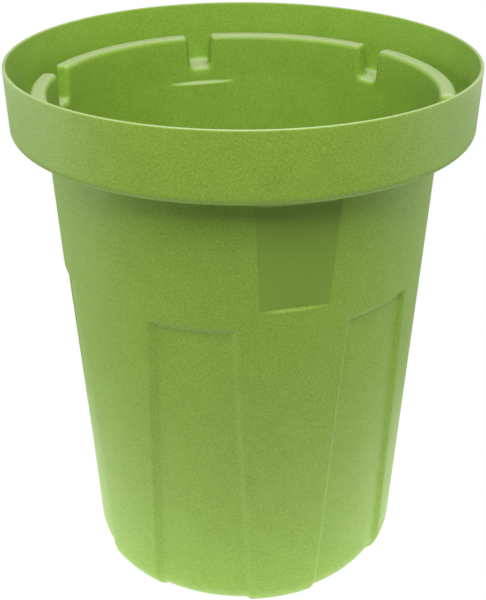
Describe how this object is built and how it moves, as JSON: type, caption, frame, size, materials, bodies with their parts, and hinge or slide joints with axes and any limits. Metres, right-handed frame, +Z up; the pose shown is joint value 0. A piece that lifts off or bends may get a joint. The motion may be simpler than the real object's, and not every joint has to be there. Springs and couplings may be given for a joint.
{
  "type": "moulded open-top drum",
  "caption": "Tapered round open-top container in leaf green plastic, with sunk wall panels, a deep flared collar, a drained trough and a notched lip.",
  "frame": {"origin": "centre of the base, on the face that the container stands on", "axes": "+Z up along the container's axis, -Y and +Y towards the two grip flats under the collar"},
  "size_m": [0.66, 0.66, 0.793],
  "materials": {
    "polyethylene": "matte rotationally moulded polyethylene, leaf green, fine grain"
  },
  "bodies": {
    "root": {"base_pan": "polyethylene", "ribbed_wall": "polyethylene", "grip_wall": "polyethylene", "trough_floor": "polyethylene", "outer_collar": "polyethylene", "lip_segment_1": "polyethylene", "lip_segment_2": "polyethylene", "lip_segment_3": "polyethylene", "lip_segment_4": "polyethylene", "lip_segment_5": "polyethylene", "lip_segment_6": "polyethylene"}
  },
  "joints": []
}
